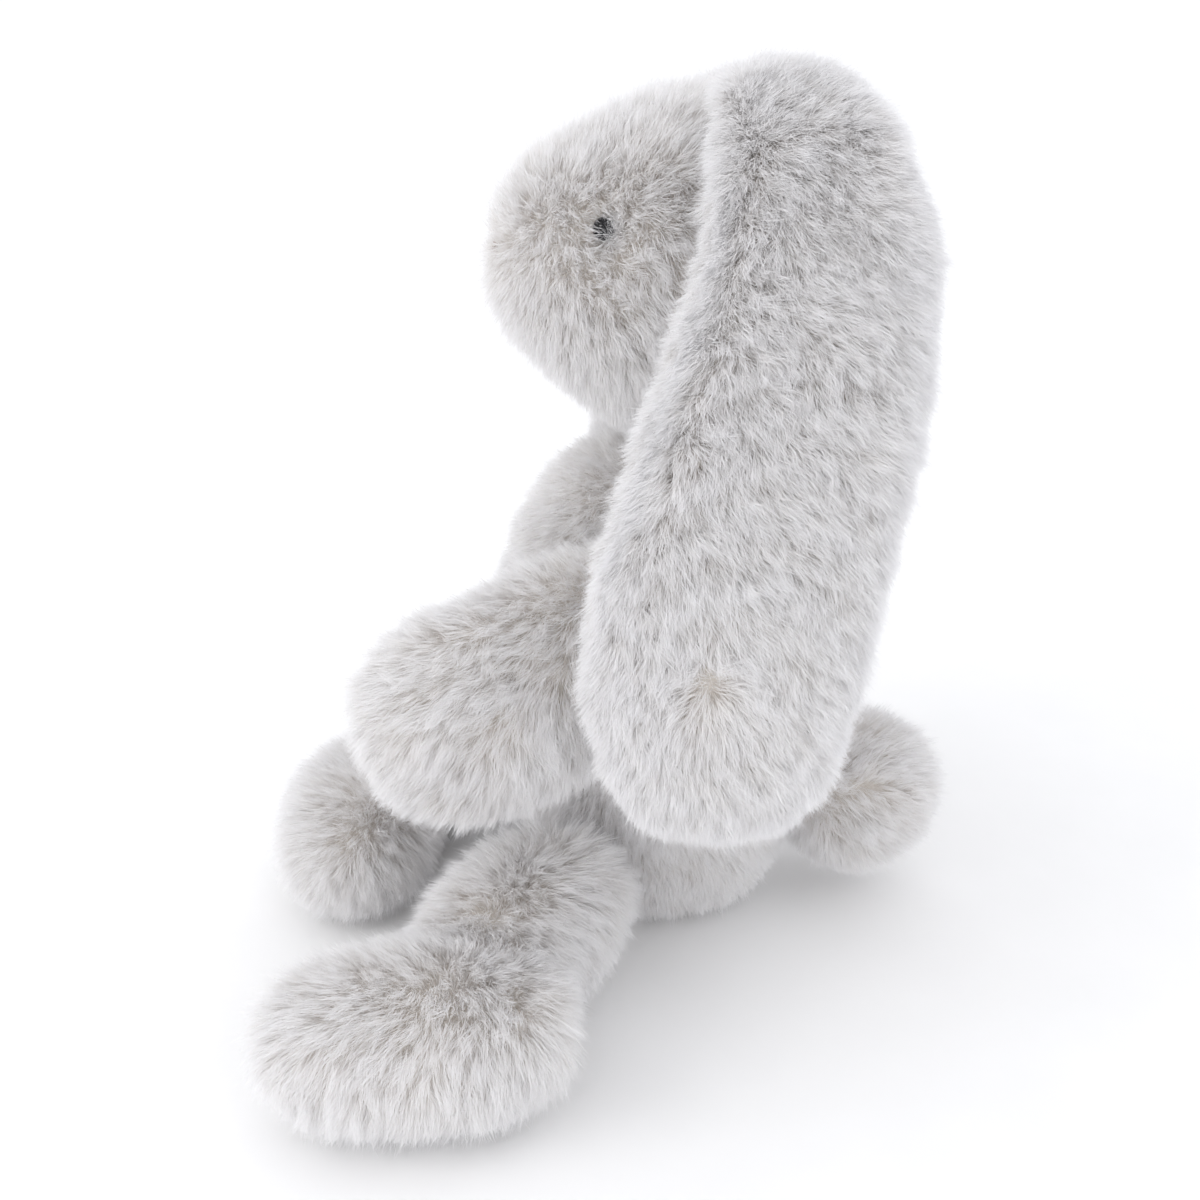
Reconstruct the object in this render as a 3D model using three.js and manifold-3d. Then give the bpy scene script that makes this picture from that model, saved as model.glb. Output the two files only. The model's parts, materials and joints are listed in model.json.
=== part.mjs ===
// Stuffed bunny rabbit, sitting on the floor with drooping ears.
// Millimetres, +Z up. The rabbit faces -Y, so its left side is +X. The origin is on the floor, under the seat.
// Every sewn part is a skin (knitted backing with its laid-down pile) around a separate filling. Each skin is
// open where it is sewn to its neighbour.

import * as THREE from 'three';
import { mergeVertices } from 'three/addons/utils/BufferGeometryUtils.js';
import Module from 'manifold-3d';

const wasm = await Module();
wasm.setup();

// ---------- Driving dimensions ----------

const GAP = 0.3; // clearance between touching pieces
const EAR_GAP = 1; // clearance between an ear's root and the head, so that the ear can lift
const SKIN = 6; // backing fabric plus laid-down pile
const SIDE_X = 43; // flat sides of the torso, where the arms and legs are sewn on
const TAIL_Y = 36.5; // back of the torso, where the tail is sewn on
const NECK = { radius: 15, bottom: 120, top: 205 }; // opening sewn between the torso and the head
const SEAT_PELLETS_TOP = 30; // the pellet bag fills the seat up to here
const REACH = 400; // longer than the whole rabbit, for the planes that cut it

// The eyes and the nose lie where a line from inside the head, `from` and `towards`, leaves its surface.
const EYE = {
  from: [0, -30, 238],
  towards: [0.95, -0.28, 0.23],
  facing: [0.78, -0.62, 0.04],
  depth: 4.6, // below the tips of the pile
  domeRadius: 3.6,
  domeHeight: 3.2,
  shankRadius: 1.5,
  shankLength: 11,
  segments: 14,
};
const WASHER = { radius: 5, thickness: 1.4, depth: 8.6, pocketLength: 10 };
const NOSE = {
  from: [0, -30, 236],
  towards: [0, -1, -0.02],
  depth: 4.6,
  halfWidth: 7,
  halfHeight: 4.5,
  thickness: 1.6,
};
const RECESS = { margin: 1, length: 20 }; // room in the pile around an eye or the nose

const torso = {
  spine: [[0, -8, -8], [0, -14, 40], [0, -18, 85], [0, -18, 125], [0, -11, 174.5]],
  halfWidth: [43, 44, 44, 46, 50],
  halfDepth: [52, 52, 53, 53, 52],
  side: [1, 0, 0],
  fullness: 2.6,
};

const head = {
  spine: [[0, 44, 222], [0, 18, 226], [0, -12, 232], [0, -43, 240], [0, -67, 252]],
  halfWidth: [46, 50, 51, 44, 36],
  halfDepth: [50, 54, 55, 44, 40],
  side: [1, 0, 0],
  fullness: 2.5,
};

const leftEar = {
  spine: [[20, 10, 283], [39, 12, 284], [57, 16, 273], [73, 18, 241], [88, 6, 197], [99, -9, 150], [100, -12, 83]],
  halfWidth: [20, 30, 36, 39, 42, 44, 43],
  halfDepth: [9, 10, 11, 12, 12, 12, 12],
  side: [0, 1, 0],
  fullness: 3.2,
};

const rightEar = {
  ...leftEar,
  spine: [[-20, 12, 278], [-38, 16, 277], [-55, 22, 261], [-69, 26, 231], [-85, 21, 190], [-97, 12, 146], [-99, 8, 79]],
};

// Both arms have this form. They turn about the shoulder pivot.
const arm = {
  spine: [[35, -28, 140], [54, -38, 134], [62, -66, 111], [63, -117, 95]],
  halfWidth: [20, 20, 21, 21],
  halfDepth: [25, 33, 37, 41],
  side: [1, 0, 0],
  fullness: 2.5,
};
const SHOULDER_PIVOT = [0, -34, 140];
const RIGHT_ARM_HANG = 80; // degrees that the right arm hangs lower than the left

const leftLeg = {
  spine: [[34, -41, 27], [60, -61, 30], [84, -78, 31], [108, -92, 29]],
  halfWidth: [27, 26, 27, 28],
  halfDepth: [26, 27, 27, 26],
  side: [0.6, 0.8, 0],
  fullness: 3,
};

const leftFoot = {
  spine: [[114, -52, 27], [118, -98, 28], [114, -151, 27]],
  halfWidth: [26, 28, 27],
  halfDepth: [26, 27, 26],
  side: [1, 0, 0],
  fullness: 2.4,
};

const rightLeg = {
  spine: [[-34, -36, 25], [-62, -50, 25], [-69, -80, 25], [-46, -118, 25]],
  halfWidth: [25, 24, 23, 23],
  halfDepth: [24, 24, 23, 23],
  side: [1, 0, 0],
  fullness: 3,
};

const rightFoot = {
  spine: [[-62, -111, 24], [-16, -122, 25], [29, -128, 25]],
  halfWidth: [27, 29, 28],
  halfDepth: [25, 26, 26],
  side: [0.3, 0.9, 0],
  fullness: 2.4,
};

const tail = {
  spine: [[0, 29, 36], [0, 58, 37], [0, 88, 37]],
  halfWidth: [26, 27, 26],
  halfDepth: [28, 30, 28],
  side: [1, 0, 0],
  fullness: 2.1,
};

// ---------- Solids ----------

/** Manifold solid of a closed three.js geometry. */
function solid(geometry) {
  const bare = geometry.index ? geometry.toNonIndexed() : geometry.clone();
  bare.deleteAttribute('normal');
  bare.deleteAttribute('uv');
  const merged = mergeVertices(bare, 1e-4);
  return new wasm.Manifold(new wasm.Mesh({
    numProp: 3,
    vertProperties: new Float32Array(merged.attributes.position.array),
    triVerts: new Uint32Array(merged.index.array),
  }));
}

/** three.js geometry of a manifold solid. */
function geometryOf(shape) {
  const mesh = shape.getMesh();
  const geometry = new THREE.BufferGeometry();
  geometry.setAttribute('position', new THREE.BufferAttribute(mesh.vertProperties, 3));
  geometry.setIndex(new THREE.BufferAttribute(mesh.triVerts, 1));
  geometry.computeVertexNormals();
  return geometry;
}

/** Smooth value between evenly spaced control values, at a station from 0 to 1. */
function valueAt(values, station) {
  const points = values.map((value, index) => new THREE.Vector2(index, value));
  return new THREE.SplineCurve(points).getPoint(station).y;
}

/**
 * Rounded soft body around a spine. Its sections are ellipses, halfWidth along `side` and halfDepth across it.
 * `inset` shrinks it everywhere, `fullness` above 2 fills out its ends, and `face` 1 or -1 keeps only the half
 * on that side of the spine surface.
 */
function softBody(form, { inset = 0, around = 14, along = 9, face = 0 } = {}) {
  const curve = new THREE.CatmullRomCurve3(form.spine.map((p) => new THREE.Vector3(...p)));
  const geometry = new THREE.SphereGeometry(1, around, along);
  const position = geometry.attributes.position;
  const endMargin = inset / curve.getLength();
  const unit = new THREE.Vector3();
  for (let index = 0; index < position.count; index += 1) {
    unit.fromBufferAttribute(position, index);
    const station = THREE.MathUtils.lerp(endMargin, 1 - endMargin, (1 - unit.y) / 2);
    const closing = (1 - Math.min(1, Math.abs(unit.y)) ** form.fullness) ** (1 / form.fullness);
    const angle = Math.atan2(unit.z, unit.x);
    const tangent = curve.getTangentAt(station);
    const side = new THREE.Vector3(...form.side).projectOnPlane(tangent).normalize();
    const across = new THREE.Vector3().crossVectors(tangent, side);
    const width = (valueAt(form.halfWidth, station) - inset) * Math.cos(angle) * closing;
    const depth = (valueAt(form.halfDepth, station) - inset) * Math.sin(angle) * closing;
    const keptDepth = face === 0 ? depth : face * Math.max(GAP, face * depth);
    const point = curve.getPointAt(station).addScaledVector(side, width).addScaledVector(across, keptDepth);
    position.setXYZ(index, point.x, point.y, point.z);
  }
  return solid(geometry);
}

/** Box between two corners. */
function box(low, high) {
  const geometry = new THREE.BoxGeometry(high[0] - low[0], high[1] - low[1], high[2] - low[2]);
  geometry.translate((low[0] + high[0]) / 2, (low[1] + high[1]) / 2, (low[2] + high[2]) / 2);
  return solid(geometry);
}

/** Everything on the far side of a plane through `point` with outward normal `direction`. */
function beyond(point, direction) {
  const geometry = new THREE.BoxGeometry(REACH, REACH, REACH);
  geometry.translate(0, 0, REACH / 2);
  const turn = new THREE.Quaternion().setFromUnitVectors(
    new THREE.Vector3(0, 0, 1),
    new THREE.Vector3(...direction).normalize(),
  );
  geometry.applyQuaternion(turn);
  geometry.translate(...point);
  return solid(geometry);
}

/** Round plug from `point` along `direction`. */
function plug(point, direction, radius, length, segments = 16) {
  const geometry = new THREE.CylinderGeometry(radius, radius, length, segments);
  geometry.translate(0, length / 2, 0);
  geometry.applyQuaternion(new THREE.Quaternion().setFromUnitVectors(
    new THREE.Vector3(0, 1, 0),
    new THREE.Vector3(...direction).normalize(),
  ));
  geometry.translate(...point);
  return solid(geometry);
}

/** The same form with wider and deeper sections. */
function grown(form, margin) {
  const widen = (values) => values.map((value) => value + margin);
  return { ...form, halfWidth: widen(form.halfWidth), halfDepth: widen(form.halfDepth) };
}

/** The same form on the other side of the body. */
function mirrored(form) {
  return { ...form, spine: form.spine.map(([x, y, z]) => [-x, y, z]) };
}

/** The same form turned about a sideways axis through `pivot`, forwards and down for a positive angle. */
function turned(form, pivot, degrees) {
  const centre = new THREE.Vector3(...pivot);
  const axis = new THREE.Vector3(1, 0, 0);
  const turn = (point) => new THREE.Vector3(...point).sub(centre)
    .applyAxisAngle(axis, THREE.MathUtils.degToRad(degrees)).add(centre).toArray();
  return { ...form, spine: form.spine.map(turn) };
}

/** Everything below a level plane. */
function below(height) {
  return box([-REACH, -REACH, -REACH], [REACH, REACH, height]);
}

/** Skin and filling of a sewn part that lies flat on the floor and is open beyond its seams. */
function sewnPart(form, seams, detail) {
  const outside = softBody(form, detail).subtract(below(0));
  const inside = softBody(form, { ...detail, inset: SKIN }).subtract(below(SKIN));
  const stuffed = softBody(form, { ...detail, inset: SKIN + GAP }).subtract(below(SKIN + GAP));
  const open = (shape) => seams.reduce((rest, seam) => rest.subtract(seam), shape);
  return { skin: open(outside.subtract(inside)), filling: open(stuffed) };
}

// ---------- Materials ----------

const OFF_WHITE = 0xdedad4;
const FIBRE_WHITE = 0xf2f2ee;
const EYE_BLACK = 0x0b0b0d;
const NOSE_TAUPE = 0x9c8a80;
const WASHER_WHITE = 0xe9e9e6;
const PELLET_LINEN = 0xd8cfc0;

function paint(color, roughness) {
  return new THREE.MeshStandardMaterial({ color, roughness, metalness: 0 });
}

const rabbit = new THREE.Group();

function addNode(name, shape, color, roughness) {
  const mesh = new THREE.Mesh(geometryOf(shape), paint(color, roughness));
  mesh.name = name;
  rabbit.add(mesh);
}

function addSewnPart(name, part) {
  addNode(`${name}_skin`, part.skin, OFF_WHITE, 0.95);
  addNode(`${name}_filling`, part.filling, FIBRE_WHITE, 1);
}

// ---------- Torso, with the pellet bag in its seat ----------

const neckHole = plug([0, 0, NECK.bottom], [0, 0, 1], NECK.radius, NECK.top - NECK.bottom);

function makeTorso() {
  const sides = [beyond([SIDE_X, 0, 0], [1, 0, 0]), beyond([-SIDE_X, 0, 0], [-1, 0, 0])];
  const part = sewnPart(torso, sides, { around: 20, along: 11 });
  addNode('torso_skin', part.skin.subtract(neckHole), OFF_WHITE, 0.95);
  addNode('torso_filling', part.filling.subtract(below(SEAT_PELLETS_TOP + GAP)), FIBRE_WHITE, 1);
  addNode('seat_pellet_bag', part.filling.intersect(below(SEAT_PELLETS_TOP)), PELLET_LINEN, 0.9);
}

// ---------- Head, eyes and nose ----------

const headDetail = { around: 20, along: 12 };

/** Point where a line from inside the head leaves its surface. */
function headSurface(from, towards) {
  const mesh = new THREE.Mesh(geometryOf(softBody(head, headDetail)));
  mesh.material.side = THREE.DoubleSide;
  const ray = new THREE.Raycaster(new THREE.Vector3(...from), towards.clone().normalize());
  return ray.intersectObject(mesh)[0].point;
}

/** Eye: a dome with a shank, turned on its own axis, standing on y = 0 and looking along +Y. */
function eyeGeometry() {
  const profile = [
    new THREE.Vector2(0, -EYE.shankLength),
    new THREE.Vector2(EYE.shankRadius, -EYE.shankLength),
    new THREE.Vector2(EYE.shankRadius, 0),
  ];
  const steps = 4;
  for (let step = 0; step < steps; step += 1) {
    const angle = (step / steps) * (Math.PI / 2);
    profile.push(new THREE.Vector2(EYE.domeRadius * Math.cos(angle), EYE.domeHeight * Math.sin(angle)));
  }
  profile.push(new THREE.Vector2(0, EYE.domeHeight));
  return new THREE.LatheGeometry(profile, EYE.segments);
}

/** Washer: a flat ring that grips the shank from inside the head. */
function washerGeometry() {
  const bore = EYE.shankRadius + GAP;
  const profile = [
    new THREE.Vector2(bore, 0),
    new THREE.Vector2(WASHER.radius, 0),
    new THREE.Vector2(WASHER.radius, WASHER.thickness),
    new THREE.Vector2(bore, WASHER.thickness),
    new THREE.Vector2(bore, 0),
  ];
  return new THREE.LatheGeometry(profile, EYE.segments);
}

/** Nose: a flat oval of satin stitches, standing on y = 0 and looking along +Y. */
function noseGeometry() {
  const geometry = new THREE.CylinderGeometry(NOSE.halfWidth, NOSE.halfWidth, NOSE.thickness, 16);
  geometry.scale(1, 1, NOSE.halfHeight / NOSE.halfWidth);
  return geometry.translate(0, NOSE.thickness / 2 + GAP, 0);
}

/** Turns a piece from +Y to a direction and moves it to a point. */
function placed(geometry, point, direction) {
  const turn = new THREE.Quaternion().setFromUnitVectors(new THREE.Vector3(0, 1, 0), direction);
  return solid(geometry.clone().applyQuaternion(turn).translate(point.x, point.y, point.z));
}

/** Makes an eye and its washer on one side of the head, and returns what they cut from its skin and filling. */
function makeEye(name, sign) {
  const outward = new THREE.Vector3(sign * EYE.facing[0], EYE.facing[1], EYE.facing[2]).normalize();
  const inward = outward.clone().negate();
  const towards = new THREE.Vector3(sign * EYE.towards[0], EYE.towards[1], EYE.towards[2]);
  const surface = headSurface(EYE.from, towards);
  const atDepth = (depth) => surface.clone().addScaledVector(inward, depth);
  const cut = (depth, direction, radius, length, segments) => (
    plug(atDepth(depth).toArray(), direction.toArray(), radius, length, segments)
  );
  addNode(`eye_${name}`, placed(eyeGeometry(), atDepth(EYE.depth), outward), EYE_BLACK, 0.08);
  addNode(`eye_washer_${name}`, placed(washerGeometry(), atDepth(WASHER.depth), inward), WASHER_WHITE, 0.5);
  const recess = cut(EYE.depth + GAP, outward, EYE.domeRadius + RECESS.margin, RECESS.length);
  const shankHole = cut(EYE.depth, inward, EYE.shankRadius + GAP, RECESS.length, 10);
  const pocket = cut(EYE.depth, inward, WASHER.radius + RECESS.margin, WASHER.pocketLength + EYE.depth);
  return { skinCut: recess.add(shankHole), fillingCut: pocket };
}

/** Makes the nose, and returns what it cuts from the skin. */
function makeNose() {
  const outward = new THREE.Vector3(...NOSE.towards).normalize();
  const seat = headSurface(NOSE.from, outward).addScaledVector(outward, -NOSE.depth);
  addNode('nose_embroidery', placed(noseGeometry(), seat, outward), NOSE_TAUPE, 0.7);
  return plug(seat.toArray(), outward.toArray(), NOSE.halfWidth + RECESS.margin, RECESS.length);
}

function makeHead() {
  const part = sewnPart(head, [], headDetail);
  const eyes = [makeEye('left', 1), makeEye('right', -1)];
  const skinCuts = [neckHole, makeNose(), ...eyes.map((eye) => eye.skinCut)];
  const fillingCuts = eyes.map((eye) => eye.fillingCut);
  const cutFrom = (shape, cuts) => cuts.reduce((rest, piece) => rest.subtract(piece), shape);
  addNode('head_skin', cutFrom(part.skin, skinCuts), OFF_WHITE, 0.95);
  addNode('head_filling', cutFrom(part.filling, fillingCuts), FIBRE_WHITE, 1);
}

// ---------- Ears: an outer flap sewn to a lining, with no filling ----------

function makeEars() {
  const headRoom = softBody(grown(head, EAR_GAP), headDetail);
  for (const [name, form, outward] of [['left', leftEar, 1], ['right', rightEar, -1]]) {
    for (const [layer, face] of [['outer', outward], ['lining', -outward]]) {
      const flap = softBody(form, { around: 14, along: 11, face }).subtract(headRoom);
      addNode(`ear_${name}_${layer}`, flap, OFF_WHITE, 0.95);
    }
  }
}

// ---------- Arms, legs, feet and tail ----------

function makeArms() {
  const hanging = turned(mirrored(arm), SHOULDER_PIVOT, RIGHT_ARM_HANG);
  for (const [name, form, sign] of [['left', arm, 1], ['right', hanging, -1]]) {
    const seam = beyond([sign * (SIDE_X + GAP), 0, 0], [-sign, 0, 0]);
    addSewnPart(`arm_${name}`, sewnPart(form, [seam]));
  }
}

function makeLeg(name, leg, foot, sign, ankle, ankleAxis) {
  const hipSeam = beyond([sign * (SIDE_X + GAP), 0, 0], [-sign, 0, 0]);
  const away = new THREE.Vector3(...ankleAxis).normalize();
  const footSide = new THREE.Vector3(...ankle).addScaledVector(away, GAP).toArray();
  addSewnPart(`leg_${name}`, sewnPart(leg, [hipSeam, beyond(ankle, away.toArray())]));
  addSewnPart(`foot_${name}`, sewnPart(foot, [beyond(footSide, away.clone().negate().toArray())]));
}

makeTorso();
makeHead();
makeEars();
makeArms();
makeLeg('left', leftLeg, leftFoot, 1, [99, -80, 27], [0.85, -0.55, 0]);
makeLeg('right', rightLeg, rightFoot, -1, [-51, -108, 25], [0.75, -0.66, 0]);
addSewnPart('tail', sewnPart(tail, [beyond([0, TAIL_Y, 0], [0, -1, 0])]));

export default rabbit;
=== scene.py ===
"""Stuffed bunny rabbit: covers, pile, stuffing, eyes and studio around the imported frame.

Metres, +Z up. The rabbit faces -Y. Each sewn part gets a cloth cover puffed out by its stuffing, and a long
pile of tapered hairs that grow in tufts from that cover.
"""

import json
import math

import bmesh
import bpy
import numpy as np
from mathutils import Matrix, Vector, noise
from mathutils.bvhtree import BVHTree


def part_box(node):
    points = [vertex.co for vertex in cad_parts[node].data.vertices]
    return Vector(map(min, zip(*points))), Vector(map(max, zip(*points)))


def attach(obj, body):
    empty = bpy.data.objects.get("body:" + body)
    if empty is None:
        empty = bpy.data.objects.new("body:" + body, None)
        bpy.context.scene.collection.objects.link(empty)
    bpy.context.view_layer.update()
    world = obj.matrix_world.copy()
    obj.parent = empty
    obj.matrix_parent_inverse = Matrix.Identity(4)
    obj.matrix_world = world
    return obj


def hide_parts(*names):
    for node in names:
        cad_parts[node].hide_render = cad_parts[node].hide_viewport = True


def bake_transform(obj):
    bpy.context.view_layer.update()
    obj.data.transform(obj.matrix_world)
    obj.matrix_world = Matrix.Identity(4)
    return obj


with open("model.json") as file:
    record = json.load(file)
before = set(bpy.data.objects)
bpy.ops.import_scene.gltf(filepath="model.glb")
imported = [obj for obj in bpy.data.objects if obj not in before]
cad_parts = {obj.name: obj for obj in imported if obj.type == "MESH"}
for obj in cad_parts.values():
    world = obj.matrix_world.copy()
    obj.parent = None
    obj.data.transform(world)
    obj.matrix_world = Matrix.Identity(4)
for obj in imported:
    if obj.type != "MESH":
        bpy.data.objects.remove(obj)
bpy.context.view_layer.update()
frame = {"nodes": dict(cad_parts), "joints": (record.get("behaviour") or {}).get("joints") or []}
nodes = frame["nodes"]

MM = 0.001

# ---------- Driving dimensions ----------

PILE_RISE = 10.9 * MM  # how high the pile stands over the cover
PILE_LEAN = 5.2 * MM  # how far its tips lie along the cover
PILE_OVERLAP = 6 * MM  # how far it may reach into the next part
PILE_REACH = 20 * MM  # how far above the cover the next part still shortens the pile
PRESSED_ROOM = 8 * MM  # with less room than this the pile is pressed down and thinned
PRESSED_SHARE = 0.35  # share of the tufts that grow there
TUFT_RADIUS = 2.1 * MM
TUFT_GATHER = 0.36  # how far the tips of a tuft draw together
TIP_STRAY = 1.1 * MM
ROOT_DEPTH = 0.6 * MM  # how far below the cover a hair starts
HAIR_WIDTH = 0.215 * MM
BOW_RISE, BOW_LEAN, BOW_GATHER = 0.68, 0.22, 0.35  # where a hair bows, as shares of the tip's
CORNER_HEIGHTS = (0.03, 0.5, 0.5, 0.97)  # of a hair's root, its two middle corners and its tip
BARE_SHARE = 0.05  # a shorter pile than this share of its full height doesn't grow
HAIRS_PER_TUFT = 27
HAIRS_PER_PIECE = 60000  # the most hairs in one mesh; keeps each mesh small enough to export whole
TRANSLUCENCY = 0.42  # share of the light that passes through a hair
TONE_SPREAD = 0.015  # change of tone across one hair
FLOOR_CLEARANCE = 0.4 * MM
CLEARING_SHAPE = np.array((1.05, 1.05, 0.8))  # makes the clearings around eyes and nose taller than wide

# How much tufts and hairs differ: least and greatest shares of a size, or the spread of a random value.
LEAN_SHARES = (0.55, 1.35)
RISE_SHARES = (0.88, 1.08)
GATHER_SHARES = (0.5, 1.4)
LENGTH_SHARES = (0.72, 1.08)
WIDTH_SHARES = (0.7, 1.25)
TURN_SPREAD = 0.30
SIDE_SPREAD = 0.55
TUFT_TONE = (0.42, 0.16)  # its middle and its spread
HAIR_TONE_SPREAD = 0.18
UNEVEN_RISE = (9 * MM, 5.5, 0.10)  # wavelength, offset and strength
SWIRLS = ((16 * MM, 3.1, 0.8), (6 * MM, 8.7, 0.5))  # wavelength, offset and strength of each

SEAM_REACH = 3 * MM  # how near to the next part a cover is held by its seam
COVER_VOXEL = 5 * MM
COVER_TRAVEL = 2.5 * MM
COVER_PRESSURE = 4
CLOTH_FRAMES = 20
ANKLE_FILLET = 11 * MM  # rounds the inside of the bend between a leg and its foot
EAR_VOXEL = 4 * MM
EAR_SHRINK = 3.6 * MM
EAR_CLOTH = 0.8 * MM
EAR_RIM = 4 * MM  # how far the denser pile of an ear's rim reaches over each face
STUFFING_SHRINK = 1.6 * MM
STUFFING_VOXEL = 4 * MM
LUMP_SIZE = 11 * MM
LUMP_HEIGHT = 0.9 * MM
BAG_VOXEL = 2.5 * MM
PELLET_SIZE = 4 * MM
PELLET_HEIGHT = 1.1 * MM

EYE_RADIUS = 3.6 * MM
EYE_HEIGHT = 3.2 * MM
EYE_SEGMENTS = 40
SHANK_RADIUS = 1.5 * MM
SHANK_LENGTH = 11 * MM
SHANK_BEVEL = 0.2 * MM
SHANK_TOLERANCE = 0.05 * MM  # finds the points at the end of the shank
RIM_STEP = 0.1 * MM  # steps of the rolled rim under the dome
WASHER_BEVEL = 0.25 * MM

NOSE_HALF_WIDTH = 6.6 * MM
NOSE_HALF_HEIGHT = 4.1 * MM
NOSE_RISE = 1.4 * MM
NOSE_ROUNDING = 0.7  # how much lower the outermost stitches arch
NOSE_SINK = 0.8 * MM  # how far below the nose's middle its stitches start
NOSE_STITCHES = 21
STITCH_STEPS = 9
STITCH_OVERREACH = 0.3 * MM
THREAD_RADIUS = 0.33 * MM
THREAD_SIDES = 6

CAMERA_TARGET = Vector((0.025, -0.038, 0.126))
CAMERA_DISTANCE = 0.520
CAMERA_AZIMUTH = 84
CAMERA_ELEVATION = 22
CAMERA_LENS = 47.5
FLOOR_RADIUS = 25
SKY_STRENGTH = 1.11

SKINS = [name for name in nodes if name.endswith(("_skin", "_outer", "_lining"))]

# ---------- Mesh helpers ----------


def object_of(name, mesh):
    """A new object in the scene."""
    made = bpy.data.objects.new(name, mesh)
    bpy.context.scene.collection.objects.link(made)
    return made


def copy_of(name, *node_names):
    """A new object with the meshes of CAD nodes, as they lie at rest."""
    joined = bmesh.new()
    for node_name in node_names:
        joined.from_mesh(nodes[node_name].data)
    mesh = bpy.data.meshes.new(name)
    joined.to_mesh(mesh)
    joined.free()
    return object_of(name, mesh)


def apply_modifiers(piece):
    """Puts the result of a piece's modifiers in its mesh."""
    graph = bpy.context.evaluated_depsgraph_get()
    mesh = bpy.data.meshes.new_from_object(piece.evaluated_get(graph))
    piece.modifiers.clear()
    piece.data = mesh


def points_of(mesh):
    """The points of a mesh as an array."""
    points = np.zeros(len(mesh.vertices) * 3)
    mesh.vertices.foreach_get("co", points)
    return points.reshape(-1, 3)


def normals_of(mesh):
    """The point normals of a mesh as an array."""
    normals = np.zeros(len(mesh.vertices) * 3)
    mesh.vertices.foreach_get("normal", normals)
    return normals.reshape(-1, 3)


def set_points(mesh, points):
    """Moves the points of a mesh."""
    mesh.vertices.foreach_set("co", points.ravel())
    mesh.update()


def unit(vectors):
    """Vectors scaled to length 1."""
    length = np.linalg.norm(vectors, axis=-1, keepdims=True)
    return vectors / np.maximum(length, 1e-9)


def tree_of(*node_names):
    """A search tree of the faces of CAD nodes."""
    points = []
    faces = []
    for node_name in node_names:
        mesh = nodes[node_name].data
        start = len(points)
        points.extend(vertex.co for vertex in mesh.vertices)
        faces.extend([start + index for index in face.vertices] for face in mesh.polygons)
    return BVHTree.FromPolygons(points, faces)


def smooth_shade(piece):
    """Shades a piece smoothly."""
    piece.data.polygons.foreach_set("use_smooth", [True] * len(piece.data.polygons))


def remesh(piece, voxel, smoothing):
    """Makes a piece one even closed surface."""
    made = piece.modifiers.new("Remesh", "REMESH")
    made.mode = "VOXEL"
    made.voxel_size = voxel
    soft = piece.modifiers.new("Smooth", "SMOOTH")
    soft.factor = 0.5
    soft.iterations = smoothing
    apply_modifiers(piece)


def subdivide(piece):
    """Rounds a piece with one subdivision."""
    piece.modifiers.new("Subdivision", "SUBSURF").levels = 1
    apply_modifiers(piece)


def shrink(piece, depth):
    """Moves the surface of a piece inwards."""
    set_points(piece.data, points_of(piece.data) - normals_of(piece.data) * depth)


def puff_out(piece, neighbours):
    """Lets the stuffing press a cover out by cloth simulation. Its seams to other parts stay in place."""
    rest = points_of(piece.data)
    seam = piece.vertex_groups.new(name="seam")
    for index, point in enumerate(rest):
        if neighbours.find_nearest(point, SEAM_REACH)[0] is not None:
            seam.add([index], 1.0, "REPLACE")
    cloth = piece.modifiers.new("Cloth", "CLOTH")
    cloth.settings.quality = 4
    cloth.settings.use_pressure = True
    cloth.settings.uniform_pressure_force = COVER_PRESSURE
    cloth.settings.effector_weights.gravity = 0
    cloth.settings.vertex_group_mass = "seam"
    cloth.point_cache.frame_start = 1
    cloth.point_cache.frame_end = CLOTH_FRAMES
    for step in range(1, CLOTH_FRAMES + 1):
        bpy.context.scene.frame_set(step)
    apply_modifiers(piece)
    bpy.context.scene.frame_set(1)
    travel = points_of(piece.data) - rest
    length = np.linalg.norm(travel, axis=1, keepdims=True)
    capped = travel * np.minimum(1, COVER_TRAVEL / np.maximum(length, 1e-9))
    set_points(piece.data, rest + capped)


# ---------- Materials ----------


def new_material(name, roughness, **inputs):
    """A node material and its shader. Inputs are values of the shader's sockets."""
    material = bpy.data.materials.new(name)
    material.use_nodes = True
    shader = material.node_tree.nodes["Principled BSDF"]
    shader.inputs["Roughness"].default_value = roughness
    for socket, value in inputs.items():
        shader.inputs[socket.replace("_", " ")].default_value = value
    return material, shader


def add_node(material, kind, **settings):
    """A node in a material. Settings are properties of the node, or values of its sockets."""
    made = material.node_tree.nodes.new(kind)
    for name, value in settings.items():
        if name in made.inputs:
            made.inputs[name].default_value = value
        else:
            setattr(made, name, value)
    return made


def ramp(material, factor, *stops):
    """A colour ramp through (position, colour) stops."""
    made = add_node(material, "ShaderNodeValToRGB")
    elements = made.color_ramp.elements
    while len(elements) < len(stops):
        elements.new(0.5)
    for element, (position, colour) in zip(elements, stops):
        element.position = position
        element.color = (*colour, 1)
    material.node_tree.links.new(factor, made.inputs["Fac"])
    return made.outputs["Color"]


def add_bump(material, shader, height, strength, distance):
    """Bump from a height socket."""
    bump = add_node(material, "ShaderNodeBump", Strength=strength, Distance=distance)
    material.node_tree.links.new(height, bump.inputs["Height"])
    material.node_tree.links.new(bump.outputs["Normal"], shader.inputs["Normal"])


def noise_node(material, scale, detail=4):
    """Noise in the object's own coordinates."""
    place = add_node(material, "ShaderNodeTexCoord")
    made = add_node(material, "ShaderNodeTexNoise", Scale=scale, Detail=detail)
    material.node_tree.links.new(place.outputs["Object"], made.inputs["Vector"])
    return made.outputs["Fac"]


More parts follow.
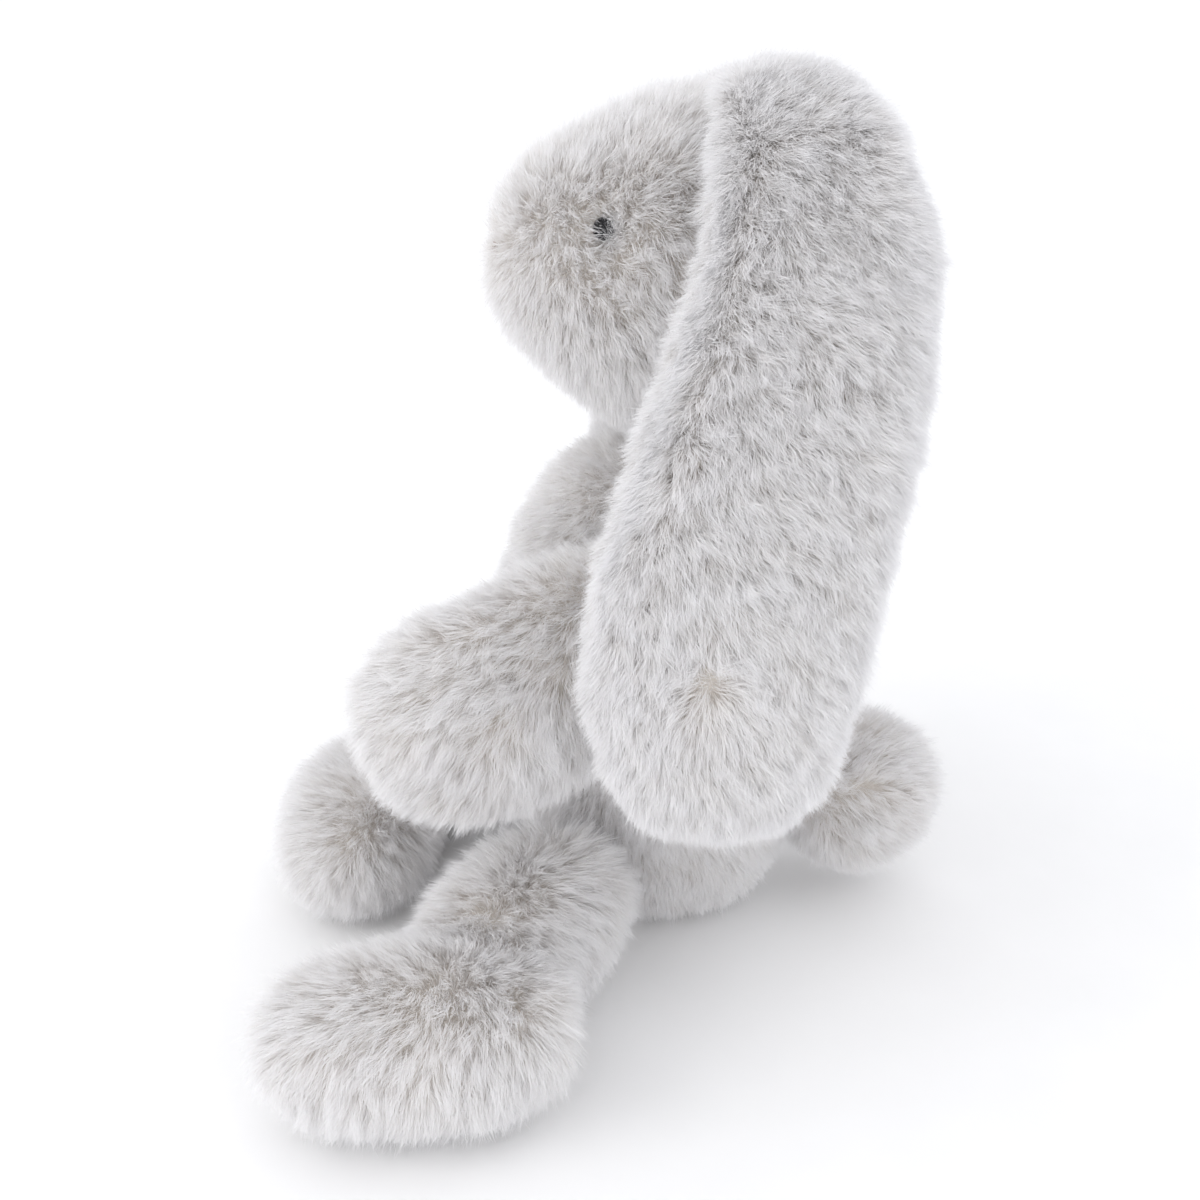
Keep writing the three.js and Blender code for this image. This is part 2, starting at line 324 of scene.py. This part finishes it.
def pile_material():
    """Hairs, taupe at the root and off-white at the tip. The UV map gives tone across and height up."""
    material, shader = new_material("pile", 0.62, Specular_IOR_Level=0.25)
    links = material.node_tree.links
    place = add_node(material, "ShaderNodeUVMap", uv_map="OFBake")
    split = add_node(material, "ShaderNodeSeparateXYZ")
    links.new(place.outputs["UV"], split.inputs["Vector"])
    pale = ramp(
        material,
        split.outputs["Y"],
        (0.0, (0.875, 0.845, 0.82)),
        (0.35, (0.92, 0.908, 0.90)),
        (0.65, (0.943, 0.941, 0.947)),
        (1.0, (0.951, 0.952, 0.968)),
    )
    warm = ramp(
        material,
        split.outputs["Y"],
        (0.0, (0.78, 0.73, 0.685)),
        (0.4, (0.873, 0.853, 0.832)),
        (0.75, (0.920, 0.911, 0.907)),
        (1.0, (0.942, 0.940, 0.951)),
    )
    mix = add_node(material, "ShaderNodeMix", data_type="RGBA")
    links.new(split.outputs["X"], mix.inputs["Factor"])
    links.new(pale, mix.inputs["A"])
    links.new(warm, mix.inputs["B"])
    links.new(mix.outputs["Result"], shader.inputs["Base Color"])
    through = add_node(material, "ShaderNodeBsdfTranslucent")
    links.new(mix.outputs["Result"], through.inputs["Color"])
    both = add_node(material, "ShaderNodeMixShader", Fac=TRANSLUCENCY)
    links.new(shader.outputs["BSDF"], both.inputs[1])
    links.new(through.outputs["BSDF"], both.inputs[2])
    links.new(both.outputs["Shader"], material.node_tree.nodes["Material Output"].inputs["Surface"])
    return material


def backing_material():
    """Knitted backing of the pile, with fine courses of loops."""
    material, shader = new_material("knit_backing", 0.9)
    place = add_node(material, "ShaderNodeTexCoord")
    loops = add_node(material, "ShaderNodeTexVoronoi", Scale=900)
    material.node_tree.links.new(place.outputs["Object"], loops.inputs["Vector"])
    tone = ramp(
        material, loops.outputs["Distance"], (0.0, (0.82, 0.79, 0.75)), (0.7, (0.70, 0.66, 0.61))
    )
    material.node_tree.links.new(tone, shader.inputs["Base Color"])
    add_bump(material, shader, loops.outputs["Distance"], 0.5, 0.2 * MM)
    return material


def fibre_material():
    """White polyester fibre stuffing."""
    material, shader = new_material("fibre_filling", 1.0, Sheen_Weight=0.3)
    strands = noise_node(material, 260, 8)
    tone = ramp(material, strands, (0.3, (0.74, 0.74, 0.72)), (0.7, (0.90, 0.90, 0.88)))
    material.node_tree.links.new(tone, shader.inputs["Base Color"])
    add_bump(material, shader, strands, 0.8, 0.6 * MM)
    return material


def linen_material():
    """Woven bag of the seat pellets."""
    material, shader = new_material("pellet_linen", 0.85)
    place = add_node(material, "ShaderNodeTexCoord")
    weft = add_node(material, "ShaderNodeTexWave", Scale=420, Distortion=1.5)
    material.node_tree.links.new(place.outputs["Object"], weft.inputs["Vector"])
    tone = ramp(material, weft.outputs["Fac"], (0.2, (0.52, 0.46, 0.37)), (0.8, (0.68, 0.62, 0.52)))
    material.node_tree.links.new(tone, shader.inputs["Base Color"])
    add_bump(material, shader, weft.outputs["Fac"], 0.5, 0.15 * MM)
    return material


def eye_material():
    """Polished black plastic with faint haze."""
    material, shader = new_material("eye_black", 0.07, Specular_IOR_Level=0.3)
    haze = noise_node(material, 500)
    tone = ramp(material, haze, (0.35, (0.004, 0.004, 0.005)), (0.8, (0.016, 0.016, 0.019)))
    material.node_tree.links.new(tone, shader.inputs["Base Color"])
    return material


def washer_material():
    """Matte white plastic."""
    material, shader = new_material("washer_plastic", 0.45)
    grain = noise_node(material, 700)
    tone = ramp(material, grain, (0.3, (0.74, 0.74, 0.72)), (0.8, (0.82, 0.82, 0.80)))
    material.node_tree.links.new(tone, shader.inputs["Base Color"])
    return material


def thread_material():
    """Taupe embroidery thread with a twist."""
    material, shader = new_material("nose_thread", 0.5, Sheen_Weight=0.4)
    twist = noise_node(material, 900)
    tone = ramp(material, twist, (0.3, (0.24, 0.17, 0.145)), (0.7, (0.36, 0.27, 0.235)))
    material.node_tree.links.new(tone, shader.inputs["Base Color"])
    add_bump(material, shader, twist, 0.4, 0.1 * MM)
    return material


def floor_material():
    """Pale studio floor."""
    material, shader = new_material("floor_pale", 0.8)
    grain = noise_node(material, 30)
    tone = ramp(material, grain, (0.3, (0.94, 0.94, 0.94)), (0.7, (0.96, 0.96, 0.96)))
    material.node_tree.links.new(tone, shader.inputs["Base Color"])
    return material


PILE = pile_material()
BACKING = backing_material()
FIBRE = fibre_material()
LINEN = linen_material()
EYE_BLACK = eye_material()
WASHER = washer_material()
THREAD = thread_material()

# ---------- Pile ----------


def room_above(centres, normals, neighbours):
    """How high the pile can stand over each point before it meets the floor or the inside of another part."""
    room = np.full(len(centres), 1.0)
    for index, (centre, normal) in enumerate(zip(centres, normals)):
        distance = neighbours.ray_cast(centre, normal, PILE_REACH)[3]
        if distance is not None:
            room[index] = distance + PILE_OVERLAP
    down = np.maximum(-normals[:, 2], 1e-6)
    return np.minimum(room, centres[:, 2] / down)


def face_fields(mesh):
    """Centres and normals of the faces of a mesh."""
    centres = np.zeros(len(mesh.polygons) * 3)
    normals = np.zeros(len(mesh.polygons) * 3)
    mesh.polygons.foreach_get("center", centres)
    mesh.polygons.foreach_get("normal", normals)
    return centres.reshape(-1, 3), normals.reshape(-1, 3)


def drift(points, wavelength, offset):
    """Smooth random values from -1 to 1, one for each point."""
    return np.array([noise.noise(Vector(point) / wavelength + Vector((offset, 0, 0))) for point in points])


def combed(centres, normals, away_from, pull, partings):
    """Direction in which the pile lies: away from a point, with a pull, and parted around some points."""
    flow = unit(centres - np.array(away_from)) + np.array(pull)
    for place, radius, strength in partings:
        outwards = centres - np.array(place)
        distance = np.linalg.norm(outwards, axis=1, keepdims=True)
        flow = flow + unit(outwards) * strength * np.exp(-((distance / radius) ** 2))
    across = np.cross(normals, unit(flow))
    swirl = sum(drift(centres, wavelength, offset) * strength for wavelength, offset, strength in SWIRLS)
    flow = unit(flow) + across * swirl[:, None]
    flow = flow - normals * np.sum(flow * normals, axis=1, keepdims=True)
    return unit(flow)


def hair_points(centres, normals, flow, height, lean, rng):
    """Root, middle, tip and side of every hair, and its tone. Each face of the cover grows one tuft."""
    tufts = len(centres)
    across = np.cross(normals, flow)
    tuft_lean = PILE_LEAN * lean * rng.uniform(*LEAN_SHARES, (tufts, 1))
    tuft_rise = height[:, None] * rng.uniform(*RISE_SHARES, (tufts, 1))
    tuft_turn = rng.normal(0, TURN_SPREAD, (tufts, 1))
    tuft_tip = normals * tuft_rise + (flow + across * tuft_turn) * tuft_lean
    tuft_tone = rng.normal(*TUFT_TONE, (tufts, 1))
    tuft_gather = rng.uniform(*GATHER_SHARES, (tufts, 1)) * TUFT_GATHER

    def each(values):
        return np.repeat(values, HAIRS_PER_TUFT, axis=0)

    count = tufts * HAIRS_PER_TUFT
    radius = TUFT_RADIUS * np.sqrt(rng.uniform(0, 1, (count, 1)))
    turn = rng.uniform(0, 2 * math.pi, (count, 1))
    offset = each(flow) * radius * np.cos(turn) + each(across) * radius * np.sin(turn)
    share = rng.uniform(*LENGTH_SHARES, (count, 1))
    stray = rng.normal(0, TIP_STRAY, (count, 3))
    root = each(centres) + offset - each(normals) * ROOT_DEPTH
    tip = each(centres) + offset * (1 - each(tuft_gather)) + each(tuft_tip) * share + stray
    bend = each(normals) * each(tuft_rise) * share * BOW_RISE + each(flow) * each(tuft_lean) * BOW_LEAN
    control = each(centres) + offset * (1 - BOW_GATHER * each(tuft_gather)) + bend
    middle = root * 0.25 + control * 0.5 + tip * 0.25
    facing = each(normals) + rng.normal(0, SIDE_SPREAD, (count, 3))
    side = unit(np.cross(tip - root, facing))
    tone = np.clip(each(tuft_tone) + rng.normal(0, HAIR_TONE_SPREAD, (count, 1)), 0.02, 0.98)
    return {"root": root, "middle": middle, "tip": tip, "side": side, "tone": tone}


def hair_mesh(name, hairs, width):
    """One mesh of tapered hairs, each of two triangles that meet across its middle."""
    count = len(width)
    middle = hairs["middle"]
    reach = hairs["side"] * width * 0.5
    corners = np.stack([hairs["root"], middle - reach, middle + reach, hairs["tip"]], axis=1)
    corners[:, :, 2] = np.maximum(corners[:, :, 2], FLOOR_CLEARANCE)
    mesh = bpy.data.meshes.new(name)
    mesh.vertices.add(count * 4)
    mesh.vertices.foreach_set("co", corners.ravel())
    pattern = np.array([0, 2, 1, 1, 2, 3])
    loops = (np.arange(count)[:, None] * 4 + pattern).ravel()
    mesh.loops.add(len(loops))
    mesh.loops.foreach_set("vertex_index", loops)
    mesh.polygons.add(count * 2)
    mesh.polygons.foreach_set("loop_start", np.arange(count * 2) * 3)
    mesh.update(calc_edges=True)
    mesh.polygons.foreach_set("use_smooth", np.ones(count * 2, bool))
    uv = np.zeros((count, len(pattern), 2))
    uv[:, :, 0] = hairs["tone"] + np.array([0, -TONE_SPREAD, TONE_SPREAD, 0])[pattern]
    uv[:, :, 1] = np.array(CORNER_HEIGHTS)[pattern]
    mesh.uv_layers.new(name="OFBake").data.foreach_set("uv", uv.ravel())
    mesh.materials.append(PILE)
    return mesh


def grow_pile(part, cover, neighbours, comb, hold, seed, growth, faces=None):
    """Grows the pile of a cover. `growth` scales its rise and its lean. `hold` is called on each new piece:
    it joins it to its body, or for a limb only puts its placement into its mesh.
    """
    rng = np.random.default_rng(seed)
    centres, normals = face_fields(cover.data)
    if faces is not None:
        centres, normals = centres[faces], normals[faces]
    room = room_above(centres, normals, neighbours)
    scale = pile_scale(part, centres)
    height = np.minimum(PILE_RISE * growth[0] * scale, room)
    wavelength, offset, strength = UNEVEN_RISE
    height = height * (1 + strength * drift(centres, wavelength, offset))
    flow = combed(centres, normals, **comb)
    keep = rng.uniform(0, 1, len(centres)) < np.where(room < PRESSED_ROOM, PRESSED_SHARE, 1.0)
    keep &= scale > BARE_SHARE
    hairs = hair_points(centres[keep], normals[keep], flow[keep], height[keep], growth[1], rng)
    width = HAIR_WIDTH * rng.uniform(*WIDTH_SHARES, (len(hairs["root"]), 1))
    order = rng.permutation(len(width))
    for number, chosen in enumerate(np.array_split(order, math.ceil(len(width) / HAIRS_PER_PIECE)), 1):
        name = f"{part}_pile_{number}"
        own = {key: values[chosen] for key, values in hairs.items()}
        piece = object_of(name, hair_mesh(name, own, width[chosen]))
        hold(piece)


def riding(body):
    """A function that makes a piece ride on a body."""
    return lambda piece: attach(piece, body)


# ---------- Stuffed parts ----------


def fill_creases(piece, reach):
    """Rounds the inner corners of a piece: its surface moves out, becomes one, and moves back in."""
    remesh(piece, COVER_VOXEL, 1)
    shrink(piece, -reach)
    remesh(piece, COVER_VOXEL, 2)
    shrink(piece, reach)


def stuffed_cover(part, fillings, skins, neighbours, hold, fillet=None):
    """The cloth cover of stuffed parts, puffed out by their stuffing."""
    cover = copy_of(f"{part}_cover", *fillings)
    if fillet:
        fill_creases(cover, fillet)
    remesh(cover, COVER_VOXEL, 3)
    puff_out(cover, neighbours)
    subdivide(cover)
    smooth_shade(cover)
    cover.data.materials.append(BACKING)
    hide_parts(*skins)
    hold(cover)
    return cover


def stuffing(part, node_name, body):
    """The lumpy fibre filling inside a cover."""
    piece = copy_of(f"{part}_stuffing", node_name)
    remesh(piece, STUFFING_VOXEL, 4)
    shrink(piece, STUFFING_SHRINK)
    lumps = drift(points_of(piece.data), LUMP_SIZE, 1.7)[:, None] * LUMP_HEIGHT
    set_points(piece.data, points_of(piece.data) + normals_of(piece.data) * lumps)
    subdivide(piece)
    smooth_shade(piece)
    piece.data.materials.append(FIBRE)
    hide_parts(node_name)
    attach(piece, body)


def pellet_bag():
    """The woven bag in the seat, with its pellets pressing through."""
    piece = copy_of("seat_bag", "seat_pellet_bag")
    remesh(piece, BAG_VOXEL, 3)
    shrink(piece, STUFFING_SHRINK)
    points = points_of(piece.data)
    pellets = [noise.voronoi(Vector(point) / PELLET_SIZE)[0][0] for point in points]
    bumps = np.array(pellets)[:, None] * -PELLET_HEIGHT
    set_points(piece.data, points + normals_of(piece.data) * bumps)
    smooth_shade(piece)
    piece.data.materials.append(LINEN)
    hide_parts("seat_pellet_bag")
    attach(piece, "torso")


def box_point(node_name, along_x, along_y, along_z):
    """A point in the box of a CAD node, from 0 to 1 along each side."""
    low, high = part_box(node_name)
    return (
        low.x + (high.x - low.x) * along_x,
        low.y + (high.y - low.y) * along_y,
        low.z + (high.z - low.z) * along_z,
    )


def others(*own):
    """A search tree of every skin apart from a part's own."""
    return tree_of(*[name for name in SKINS if name not in own])


# ---------- Eyes and nose ----------


def centre_of(node_name):
    """The middle of a CAD node's points."""
    return Vector(points_of(nodes[node_name].data).mean(axis=0))


def pile_scale(part, centres):
    """Shares of the pile's full height: longer in some places, and short or bare around eyes and nose."""
    scale = np.ones(len(centres))
    for place, radius, gain in LONG_PILE.get(part, []):
        distance = np.linalg.norm(centres - np.array(place), axis=1)
        scale += gain * np.exp(-((distance / radius) ** 2))
    if part != "head":
        return scale
    for place, bare, clear, least in FACE_CLEARINGS:
        distance = np.linalg.norm((centres - np.array(place)) * CLEARING_SHAPE, axis=1)
        grown = np.clip((distance - bare) / (clear - bare), 0, 1)
        scale = np.minimum(scale, np.where(distance < bare, 0, least + (1 - least) * grown))
    return scale


def lathe(name, profile, segments, start, axis):
    """A turned piece: (radius, height) profile points around an axis from a start point."""
    made = bmesh.new()
    turn = Vector((0, 0, 1)).rotation_difference(axis)
    rings = []
    for radius, height in profile:
        if radius == 0:
            rings.append([made.verts.new(start + turn @ Vector((0, 0, height)))])
            continue
        angles = [2 * math.pi * step / segments for step in range(segments)]
        ring = [Vector((radius * math.cos(a), radius * math.sin(a), height)) for a in angles]
        rings.append([made.verts.new(start + turn @ point) for point in ring])
    for below, above in zip(rings, rings[1:]):
        for step in range(segments):
            corners = [below[step % len(below)], below[(step + 1) % len(below)]]
            corners += [above[(step + 1) % len(above)], above[step % len(above)]]
            made.faces.new(list(dict.fromkeys(corners)))
    bmesh.ops.recalc_face_normals(made, faces=made.faces)
    mesh = bpy.data.meshes.new(name)
    made.to_mesh(mesh)
    made.free()
    piece = object_of(name, mesh)
    smooth_shade(piece)
    return piece


def eye_axis(side):
    """The top of an eye's dome and the direction that it looks in, from its CAD node."""
    points = points_of(nodes[f"eye_{side}"].data)
    head = np.array(centre_of("head_filling"))
    top = points[np.argmax(np.linalg.norm(points - head, axis=1))]
    distance = np.linalg.norm(points - top, axis=1)
    foot = points[distance > distance.max() - SHANK_TOLERANCE].mean(axis=0)
    return Vector(top), (Vector(top) - Vector(foot)).normalized()


def make_eye(side):
    """A domed eye with a rolled rim and its shank, and the finish of its washer."""
    top, axis = eye_axis(side)
    shank = [
        (0, -SHANK_LENGTH),
        (SHANK_RADIUS - SHANK_BEVEL, -SHANK_LENGTH),
        (SHANK_RADIUS, SHANK_BEVEL - SHANK_LENGTH),
        (SHANK_RADIUS, 0),
    ]
    rim = [(EYE_RADIUS - 3 * RIM_STEP, 0), (EYE_RADIUS - RIM_STEP, RIM_STEP)]
    quarter_turn = np.linspace(0, math.pi / 2, 12)[1:-1]
    dome = [(EYE_RADIUS * math.cos(a), EYE_HEIGHT * math.sin(a)) for a in quarter_turn]
    outline = [*shank, *rim, *dome, (0, EYE_HEIGHT)]
    profile = [(radius, height - EYE_HEIGHT) for radius, height in outline]
    eye = lathe(f"eye_{side}_dome", profile, EYE_SEGMENTS, top, axis)
    eye.data.materials.append(EYE_BLACK)
    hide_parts(f"eye_{side}")
    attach(eye, "head")
    washer = nodes[f"eye_washer_{side}"]
    washer.data.materials.clear()
    washer.data.materials.append(WASHER)
    bevel = washer.modifiers.new("Bevel", "BEVEL")
    bevel.width = WASHER_BEVEL
    bevel.segments = 2


def nose_axes():
    """The middle of the nose and its sideways, upward and outward directions."""
    centre = centre_of("nose_embroidery")
    sideways = Vector((1, 0, 0))
    outward = (centre - centre_of("head_filling")).normalized()
    outward = (outward - sideways * outward.dot(sideways)).normalized()
    upward = sideways.cross(outward).normalized()
    if upward.z < 0:
        upward = -upward
    return centre, sideways, upward, outward


def add_thread(made, path, sideways, outward):
    """Adds one thread along a path of points to a mesh in the making."""
    rings = []
    for middle in path:
        ring = []
        for turn in range(THREAD_SIDES):
            angle = turn / THREAD_SIDES * 2 * math.pi
            offset = sideways * math.cos(angle) * THREAD_RADIUS + outward * math.sin(angle) * THREAD_RADIUS
            ring.append(made.verts.new(middle + offset))
        rings.append(ring)
    for below, above in zip(rings, rings[1:]):
        for turn in range(THREAD_SIDES):
            following = (turn + 1) % THREAD_SIDES
            made.faces.new([below[turn], below[following], above[following], above[turn]])
    made.faces.new(rings[0][::-1])
    made.faces.new(rings[-1])


def make_nose():
    """An embroidered oval of upright satin stitches, which arch over the face."""
    centre, sideways, upward, outward = nose_axes()
    made = bmesh.new()
    for stitch in range(NOSE_STITCHES):
        share = (stitch + 0.5) / NOSE_STITCHES * 2 - 1
        reach = NOSE_HALF_HEIGHT * math.sqrt(1 - share * share) + STITCH_OVERREACH
        rise = NOSE_RISE * math.sqrt(1 - NOSE_ROUNDING * share * share)
        start = centre + sideways * share * NOSE_HALF_WIDTH - outward * NOSE_SINK
        path = [
            start + upward * step * reach + outward * rise * math.sqrt(max(0.0, 1 - step * step))
            for step in np.linspace(-1, 1, STITCH_STEPS)
        ]
        add_thread(made, path, sideways, outward)
    bmesh.ops.recalc_face_normals(made, faces=made.faces)
    mesh = bpy.data.meshes.new("nose_stitches")
    made.to_mesh(mesh)
    made.free()
    nose = object_of("nose_stitches", mesh)
    smooth_shade(nose)
    mesh.materials.append(THREAD)
    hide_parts("nose_embroidery")
    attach(nose, "head")


# ---------- Ears ----------


def ear_cover(layer, core, chosen, body):
    """The cloth of one face of an ear: the chosen faces of the ear's core."""
    cover = object_of(f"{layer}_cover", core.data.copy())
    kept = bmesh.new()
    kept.from_mesh(cover.data)
    kept.faces.ensure_lookup_table()
    dropped = [kept.faces[index] for index in np.nonzero(~chosen)[0]]
    bmesh.ops.delete(kept, geom=dropped, context="FACES")
    kept.to_mesh(cover.data)
    kept.free()
    cloth = cover.modifiers.new("Solidify", "SOLIDIFY")
    cloth.thickness = EAR_CLOTH
    apply_modifiers(cover)
    smooth_shade(cover)
    cover.data.materials.append(BACKING)
    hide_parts(layer)
    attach(cover, body)


def make_ear(side, comb, seed):
    """An ear of two cloth layers sewn at the rim, with pile on both faces."""
    layers = [f"ear_{side}_outer", f"ear_{side}_lining"]
    body = f"ear_{side}"
    neighbours = others(*layers)
    core = copy_of(f"ear_{side}_core", *layers)
    remesh(core, EAR_VOXEL, 2)
    shrink(core, EAR_SHRINK)
    puff_out(core, neighbours)
    subdivide(core)
    centres = face_fields(core.data)[0]
    trees = [tree_of(layer) for layer in layers]
    gaps = np.array([[tree.find_nearest(centre)[3] for centre in centres] for tree in trees])
    is_outer = gaps[0] < gaps[1]
    for layer, chosen in zip(layers, (is_outer, ~is_outer)):
        ear_cover(layer, core, chosen, body)
        grow_pile(layer, core, neighbours, comb, riding(body), seed, GROWTH["ear"], faces=chosen)
        seed += 1
    is_rim = np.abs(gaps[0] - gaps[1]) < EAR_RIM
    grow_pile(f"ear_{side}_rim", core, neighbours, comb, riding(body), seed, GROWTH["ear"], faces=is_rim)
    bpy.data.objects.remove(core)


# ---------- The rabbit ----------

EYE_TOPS = [eye_axis(side)[0] for side in ("left", "right")]
NOSE_CENTRE = centre_of("nose_embroidery")
# Each clearing: its place, the bare radius, the radius of full pile and the least share of the pile's height.
FACE_CLEARINGS = [(top, 6.4 * MM, 9.5 * MM, 0.3) for top in EYE_TOPS] + [(NOSE_CENTRE, 5 * MM, 8 * MM, 0.85)]

# Each parting: its place, its radius and its strength.
PARTINGS = {
    "head": [
        (box_point("head_skin", 0.75, 0.22, 0.76), 7 * MM, 1.3),
        (box_point("head_skin", 0.85, 0.22, 0.61), 5 * MM, 1.2),
    ],
    "arm_left": [(box_point("arm_left_skin", 1.0, 0.45, 0.42), 12 * MM, 1.5)],
    "limb_left": [(box_point("foot_left_skin", 0.98, 0.53, 0.6), 9 * MM, 1.4)],
    "tail": [(box_point("tail_skin", 0.95, 0.49, 0.71), 9 * MM, 2)],
    "ear_left": [(box_point("ear_left_outer", 1.0, 0.34, 0.24), 11 * MM, 2.4)],
    "ear_right": [(box_point("ear_right_outer", 0.0, 0.5, 0.3), 11 * MM, 2.4)],
}

# Each place with longer pile: its middle, its radius and how much longer the pile is there.
LONG_PILE = {
    "head": [(box_point("head_skin", 0.6, 0.08, 0.85), 14 * MM, 0.25)],
    "limb_left": [(box_point("leg_left_skin", 0.15, 0.75, 1.0), 20 * MM, 0.6)],
    "torso": [(box_point("torso_skin", 1.0, 0.3, 0.25), 20 * MM, 0.4)],
    "tail": [(box_point("tail_skin", 0.7, 0.9, 0.8), 16 * MM, 0.25)],
}

# Where each part's pile grows away from, and its pull.
COMBS = {
    "torso": (box_point("torso_skin", 0.5, 0.5, 1.1), (0, 0, -0.8)),
    "head": (tuple(NOSE_CENTRE), (0, 0.1, -0.6)),
    "arm_left": (box_point("arm_left_skin", 0.2, 0.9, 0.9), (0, 0, -0.3)),
    "arm_right": (box_point("arm_right_skin", 0.8, 0.5, 1.0), (0, 0, -0.2)),
    "limb_left": (box_point("leg_left_skin", -0.6, 0.8, 1.8), (0, 0, -0.7)),
    "limb_right": (box_point("leg_right_skin", 1.6, 0.8, 1.8), (0, 0, -0.7)),
    "tail": (box_point("tail_skin", 0.5, 0.2, 0.5), (0, 0, -0.2)),
    "ear_left": (box_point("ear_left_outer", -0.3, 0.0, 1.6), (0, 0.1, -0.3)),
    "ear_right": (box_point("ear_right_outer", 1.3, 0.0, 1.6), (0, 0.1, -0.3)),
}

# Shares of the full rise and lean of the pile.
GROWTH = {
    "torso": (0.9, 1.0),
    "head": (0.95, 1.15),
    "arm_left": (1.0, 1.3),
    "arm_right": (1.0, 1.3),
    "limb_left": (1.0, 1.5),
    "limb_right": (1.0, 1.5),
    "tail": (0.95, 1.1),
    "ear": (0.8, 1.15),
}


def comb_of(part):
    """How the pile of a part is combed."""
    away_from, pull = COMBS[part]
    return {"away_from": away_from, "pull": pull, "partings": PARTINGS.get(part, [])}


def ankle_bend(side):
    """A function that puts a piece's placement into its mesh. It finds the ankle's joint and which way the
    foot lies, but doesn't bend the piece.
    """
    joint = next(j for j in frame["joints"] if j["name"] == f"foot_{side}_roll")
    ankle = Vector(joint["pos_m"])
    away = Vector(joint["axis"]).normalized()
    if away.dot(centre_of(f"foot_{side}_skin") - ankle) < 0:
        away = -away
    return lambda piece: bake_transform(piece)


def make_stuffed_part(part, seed):
    """A stuffed part on a body of its own."""
    skin = f"{part}_skin"
    fillings = [f"{part}_filling"]
    if part == "torso":
        fillings.append("seat_pellet_bag")
    neighbours = others(skin)
    hold = riding(part)
    cover = stuffed_cover(part, fillings, [skin], neighbours, hold)
    grow_pile(part, cover, neighbours, comb_of(part), hold, seed, GROWTH[part])
    stuffing(part, f"{part}_filling", part)


def make_limb(side, seed):
    """A leg and its foot under one cover, rounded inside the ankle."""
    part = f"limb_{side}"
    parts = [f"leg_{side}", f"foot_{side}"]
    skins = [f"{name}_skin" for name in parts]
    neighbours = others(*skins)
    hold = ankle_bend(side)
    cover = stuffed_cover(part, [f"{name}_filling" for name in parts], skins, neighbours, hold, ANKLE_FILLET)
    grow_pile(part, cover, neighbours, comb_of(part), hold, seed, GROWTH[part])
    for name in parts:
        stuffing(name, f"{name}_filling", name)


def make_stuffed_parts():
    """Every stuffed part: its cover, pile and filling."""
    for number, part in enumerate(("torso", "head", "arm_left", "arm_right", "tail"), 1):
        make_stuffed_part(part, number * 10)
    for number, side in enumerate(("left", "right"), 6):
        make_limb(side, number * 10)
    pellet_bag()


def make_ears():
    """Both ears."""
    for number, side in enumerate(("left", "right"), 20):
        make_ear(side, comb_of(f"ear_{side}"), number * 10)


# ---------- Studio ----------


def make_camera():
    """The camera, to the rabbit's left and somewhat above it."""
    data = bpy.data.cameras.new("camera")
    data.lens = CAMERA_LENS
    data.sensor_width = 36
    camera = object_of("camera", data)
    azimuth = math.radians(CAMERA_AZIMUTH)
    elevation = math.radians(CAMERA_ELEVATION)
    back = Vector((
        math.sin(azimuth) * math.cos(elevation),
        -math.cos(azimuth) * math.cos(elevation),
        math.sin(elevation),
    ))
    camera.location = CAMERA_TARGET + back * CAMERA_DISTANCE
    camera.rotation_euler = (-back).to_track_quat("-Z", "Y").to_euler()
    data.clip_start = 0.01
    data.clip_end = 2 * FLOOR_RADIUS
    bpy.context.scene.camera = camera


def make_light(name, place, size, power, colour):
    """A soft light that faces the rabbit."""
    data = bpy.data.lights.new(name, "AREA")
    data.size = size
    data.energy = power
    data.color = colour
    light = object_of(name, data)
    light.location = place
    light.rotation_euler = (CAMERA_TARGET - Vector(place)).to_track_quat("-Z", "Y").to_euler()


def make_studio():
    """Pale floor, white surroundings and soft lights."""
    bpy.ops.mesh.primitive_circle_add(vertices=64, radius=FLOOR_RADIUS, fill_type="NGON")
    floor = bpy.context.object
    floor.name = "floor"
    floor.data.materials.append(floor_material())
    world = bpy.data.worlds.new("studio")
    world.use_nodes = True
    background = world.node_tree.nodes["Background"]
    background.inputs["Color"].default_value = (0.97, 0.975, 1.0, 1)
    background.inputs["Strength"].default_value = SKY_STRENGTH
    bpy.context.scene.world = world
    make_light("key", (0.6, -1.4, 0.9), 0.9, 5, (1.0, 0.985, 0.96))
    make_light("fill", (1.5, -0.6, 0.1), 1.2, 5, (1.0, 0.995, 0.99))
    bpy.context.scene.view_settings.view_transform = "Standard"
    bpy.context.scene.cycles.diffuse_bounces = 12


make_camera()
make_studio()
make_stuffed_parts()
make_ears()
for eye_side in ("left", "right"):
    make_eye(eye_side)
make_nose()
